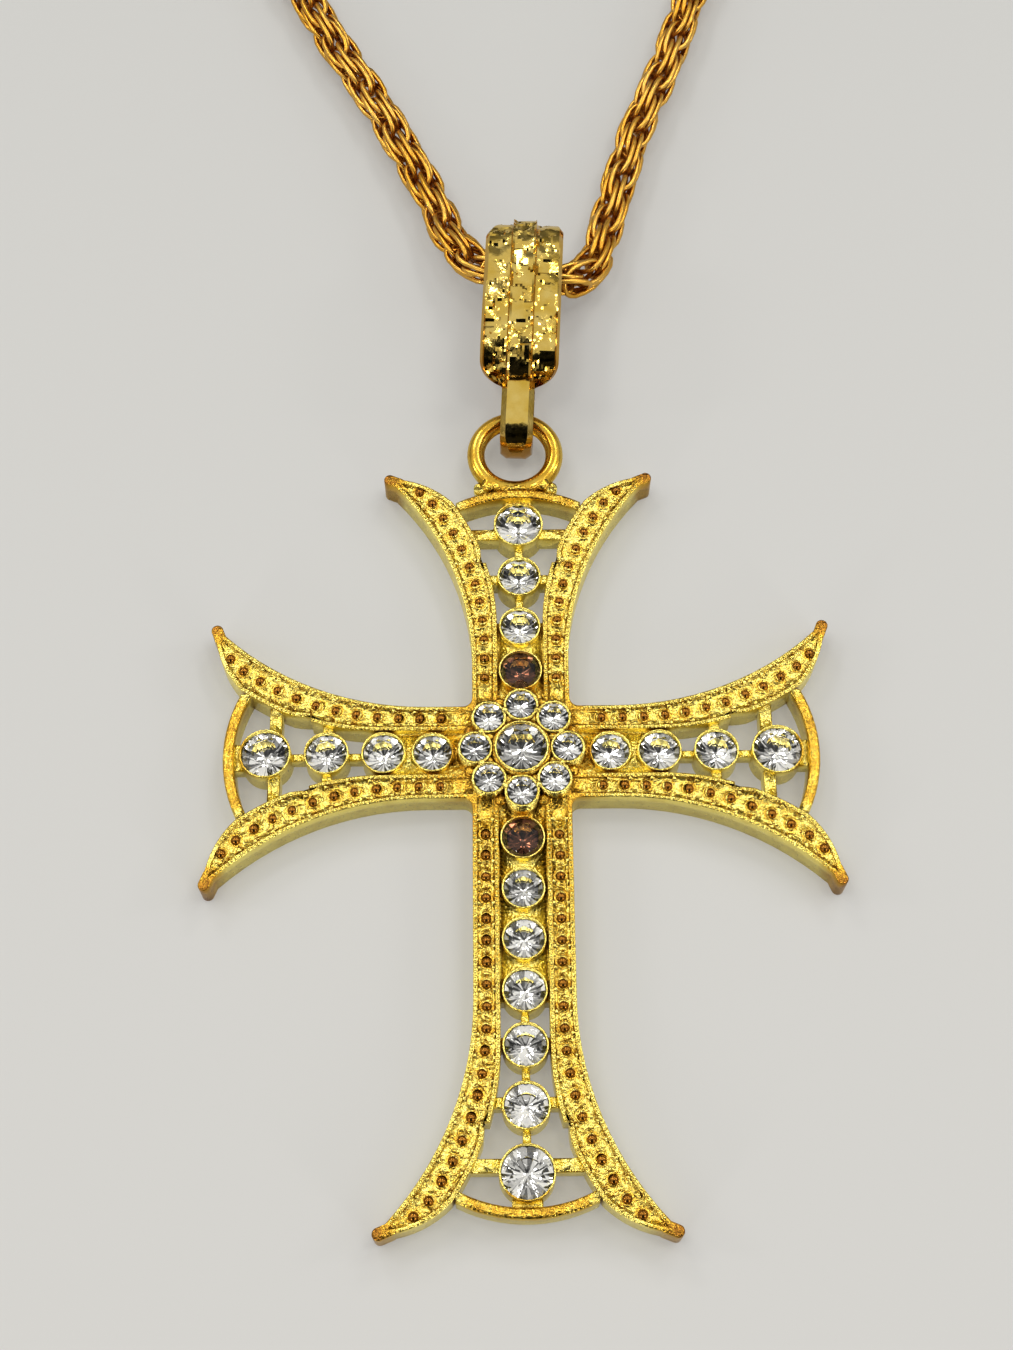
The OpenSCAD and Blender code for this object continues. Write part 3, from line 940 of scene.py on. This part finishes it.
def strip_section(bm, points, grain, y, z):
    """A closed section across a strip, its long sides divided finely."""
    verts = [bm.verts.new((x, y, z + rise)) for x, rise in points]
    edges = [bm.edges.new((verts[i - 1], verts[i])) for i in range(len(verts))]
    for edge in edges:
        cuts = int(edge.calc_length() / grain)
        if cuts:
            bmesh.ops.subdivide_edges(bm, edges=[edge], cuts=cuts)


def draw_strip(bm, legs):
    """Draws a section along legs: a turn round an axis beside it, or a straight run, each in steps."""
    geom = bm.verts[:] + bm.edges[:]
    for angle, drift, steps, centre in legs:
        made = bmesh.ops.spin(
            bm, geom=geom, cent=centre, axis=(1, 0, 0), dvec=drift,
            angle=angle, steps=steps, use_merge=False,
        )
        geom = made["geom_last"]
    bmesh.ops.remove_doubles(bm, verts=bm.verts, dist=HAIR)
    bmesh.ops.holes_fill(bm, edges=[edge for edge in bm.edges if edge.is_boundary], sides=0)
    bmesh.ops.recalc_face_normals(bm, faces=bm.faces)


def bail_band():
    """The broad band: a raised middle strip, a strip on each side and bevelled edges."""
    bm = bmesh.new()
    top, inside = BAIL_R, BAIL_R - BAIL_WALL
    half, mid = BAIL_HALF, MIDDLE_HALF
    points = [
        (-half, top - EDGE_DROP), (-half + EDGE_IN, top), (-mid - GROOVE, top),
        (-mid, top + RIDGE_RISE), (-mid + RIDGE_IN, top + MIDDLE_RISE),
        (mid - RIDGE_IN, top + MIDDLE_RISE), (mid, top + RIDGE_RISE),
        (mid + GROOVE, top), (half - EDGE_IN, top), (half, top - EDGE_DROP),
        (half, inside + INNER_RISE), (half - INNER_IN, inside),
        (-half + INNER_IN, inside), (-half, inside + INNER_RISE),
    ]
    strip_section(bm, points, BAIL_GRAIN, BAIL_NEAR_Y, BAIL_Z)
    run = int((BAIL_FAR_Y - BAIL_NEAR_Y) / BAIL_GRAIN)
    arc = int(math.pi * BAIL_R / BAIL_GRAIN)
    ahead = Vector((0, (BAIL_FAR_Y - BAIL_NEAR_Y) / run, 0))
    near, far, still = (0, BAIL_NEAR_Y, BAIL_Z), (0, BAIL_FAR_Y, BAIL_Z), (0, 0, 0)
    draw_strip(bm, [
        (0, ahead, run, far), (-math.pi, still, arc, far),
        (0, -ahead, run, near), (-math.pi, still, arc, near),
    ])
    return bm


def hammer(bm):
    """Dents the band's outside with small tilted flats, and bows its front in towards its foot."""
    rng = random.Random(5)
    middle = (BAIL_NEAR_Y + BAIL_FAR_Y) / 2
    outside = []
    for vert in bm.verts:
        core = Vector((0, min(max(vert.co.y, BAIL_NEAR_Y), BAIL_FAR_Y), BAIL_Z))
        spoke = vert.co - core
        spoke.x = 0
        if spoke.length > BAIL_R - SLACK:
            outside.append((vert, spoke.normalized()))
    seeds = [vert for vert, spoke in rng.sample(outside, len(outside) // POINTS_PER_DENT)]
    tree = KDTree(len(seeds))
    for index, vert in enumerate(seeds):
        tree.insert(vert.co, index)
    tree.balance()
    flats = []
    for vert in seeds:
        tilt = Vector([rng.uniform(-DENT_TILT, DENT_TILT) for axis in range(3)])
        flats.append((vert.co.copy(), tilt, rng.uniform(*DENT_DEPTHS)))
    for vert, spoke in outside:
        place, tilt, depth = flats[tree.find(vert.co)[1]]
        dent = min(max(depth + tilt.dot(vert.co - place), 0), DEEPEST_DENT)
        if abs(abs(vert.co.x) - MIDDLE_HALF) < RIDGE_HALF:
            dent = 0
        below = min(max(middle - vert.co.y, 0) / (middle - BAIL_NEAR_Y), 1)
        vert.co -= spoke * (dent + below**2 * max(spoke.z, 0) * BAIL_BOW)


def narrow(bm):
    """Draws the side strips in at the band's foot and head, and ends them behind the middle one."""
    for vert in bm.verts:
        over = abs(vert.co.x) - MIDDLE_HALF
        if over > 0:
            vert.co.y = min(vert.co.y, HEAD_Y + HEAD_SLOPE * vert.co.x)
            room = bail_half(*vert.co) - MIDDLE_HALF
            vert.co.x = math.copysign(MIDDLE_HALF + over * room / (BAIL_HALF - MIDDLE_HALF), vert.co.x)
        else:
            vert.co.y += HEAD_REACH * (max(vert.co.y - BAIL_FAR_Y, 0) / BAIL_R) ** 2
            vert.co.y = min(vert.co.y, BAIL_FAR_Y + BAIL_R + HEAD_REACH)


def hook_strip():
    """The narrow strip that goes through the cross's ring, round at its end."""
    bm = bmesh.new()
    top = HOOK_R
    points = [
        (-HOOK_HALF, top - HOOK_DROP), (-HOOK_FLAT, top), (HOOK_FLAT, top),
        (HOOK_HALF, top - HOOK_DROP), (HOOK_HALF, top - HOOK_WALL), (-HOOK_HALF, top - HOOK_WALL),
    ]
    strip_section(bm, points, HOOK_GRAIN, HOOK_TOP_END, HOOK_Z)
    there = Vector((0, HOOK_Y - HOOK_TOP_END, 0)) / HOOK_RUN_STEPS
    back = Vector((0, HOOK_BACK_END - HOOK_Y, 0)) / HOOK_RUN_STEPS
    centre, still = (0, HOOK_Y, HOOK_Z), (0, 0, 0)
    draw_strip(bm, [
        (0, there, HOOK_RUN_STEPS, centre), (math.pi, still, HOOK_TURN_STEPS, centre),
        (0, back, HOOK_RUN_STEPS, centre),
    ])
    for vert in bm.verts:
        room = HOOK_HALF - round_off(vert.co.y - HOOK_Y + HOOK_R, HOOK_CORNER)
        vert.co.x *= room / HOOK_HALF
    return as_shape(bm)


def make_bail(gold):
    """The hammered band with its hook, turned a little about the ring that it hangs in."""
    bm = bail_band()
    hammer(bm)
    narrow(bm)
    bm.from_mesh(hook_strip())
    hook = Vector((0, HOOK_Y, 0))
    turn = Matrix.Translation(hook) @ Matrix.Rotation(BAIL_LEAN, 4, "Z") @ Matrix.Translation(-hook)
    bmesh.ops.transform(bm, matrix=turn, verts=bm.verts)
    add_piece("bail_loop", bm, [gold], ["bail"], crease=12)


def spline(a, b, c, d, t):
    """A point on a Catmull-Rom curve between b and c."""
    square = 2 * a - 5 * b + 4 * c - d
    cube = 3 * b - a - 3 * c + d
    return (2 * b + (c - a) * t + square * t**2 + cube * t**3) / 2


def route_points():
    """Closely spaced points along the chain's way."""
    last = len(ROUTE) - 1
    points = []
    for i in range(last):
        ends = ROUTE[max(i - 1, 0)], ROUTE[i], ROUTE[i + 1], ROUTE[min(i + 2, last)]
        points += [spline(*ends, step / ROUTE_STEPS) for step in range(ROUTE_STEPS)]
    return points + [ROUTE[last]]


def link_places():
    """Where each link sits and which way the chain heads there."""
    places = []
    left = LINK_PITCH / 2
    points = route_points()
    for here, ahead in zip(points, points[1:]):
        gap = (ahead - here).length
        while left <= gap:
            places.append((here.lerp(ahead, left / gap), (ahead - here).normalized()))
            left += LINK_PITCH
        left -= gap
    return places


def make_chain(gold):
    """Links along the chain's way, each turned a step further about it."""
    places = []
    for count, (spot, along) in enumerate(link_places()):
        across = along.cross(Vector((0, 0, 1))).normalized()
        basis = Matrix((across, along, across.cross(along))).transposed().to_4x4()
        turn = Matrix.Rotation(count * LINK_TURN, 4, "Y") @ Matrix.Translation(LINK_SHIFT)
        places.append(Matrix.Translation(spot + LINK_LIFT) @ basis @ turn)
    bm = bmesh.new()
    bm.from_mesh(repeated(link(), places))
    add_piece("rope_links", bm, [gold], ["rope_chain"], crease=180)


def make_clasp(gold):
    """A plain barrel with rounded rims and a neck at each end."""
    low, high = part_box("clasp")
    low, high = Vector(low), Vector(high)
    middle, size = (low + high) / 2, high - low
    along = Matrix.Translation(middle) @ Matrix.Rotation(QUARTER, 4, "Y")
    bm = bmesh.new()
    barrel = (size.z / 2, size.x - 2 * CLASP_NECK)
    necks = (size.z / 2 - CLASP_STEP, size.x)
    for radius, length in (barrel, necks):
        made = bmesh.ops.create_cone(
            bm, cap_ends=True, segments=32, radius1=radius, radius2=radius, depth=length,
            matrix=along,
        )
        rims = {
            edge for vert in made["verts"] for edge in vert.link_edges
            if abs(edge.verts[0].co.x - edge.verts[1].co.x) < MM
        }
        bmesh.ops.bevel(
            bm, geom=list(rims), offset=CLASP_ROUND, offset_type="OFFSET", segments=3, profile=0.5,
            affect="EDGES", clamp_overlap=True, material=-1,
        )
    add_piece("barrel_clasp", bm, [gold], ["clasp"], crease=40)


make_camera()
view = bpy.context.scene.view_settings
view.view_transform = "Standard"
view.gamma = VIEW_GAMMA
make_world()
for lamp in LAMPS:
    make_lamp(*lamp)
make_floor()
make_casting(cast_gold())
make_stones()
make_bail(hammered_gold())
links_gold = chain_gold()
make_chain(links_gold)
make_clasp(links_gold)
